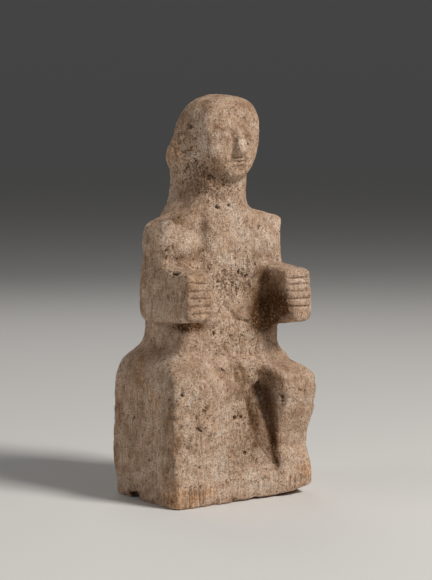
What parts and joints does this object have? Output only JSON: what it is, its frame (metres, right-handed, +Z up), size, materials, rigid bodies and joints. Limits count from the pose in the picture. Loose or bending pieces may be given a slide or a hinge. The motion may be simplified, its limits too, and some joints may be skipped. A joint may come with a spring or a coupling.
{
  "type": "seated stone figure",
  "caption": "Weathered carved limestone figure seated on a block, with long hair down its back, raised fists held forward on bent forearms, a robe and a hollow beside the left shin.",
  "frame": {"origin": "bottom centre of the bounding box, on the flat underside of the block", "axes": "+Z up; the figure faces -Y, so its right hand is on the -X side"},
  "size_m": [0.113, 0.087, 0.2701],
  "materials": {
    "stone": "porous weathered limestone, warm grey-tan, matte"
  },
  "bodies": {
    "root": {"seated_figure": "stone"}
  },
  "joints": []
}
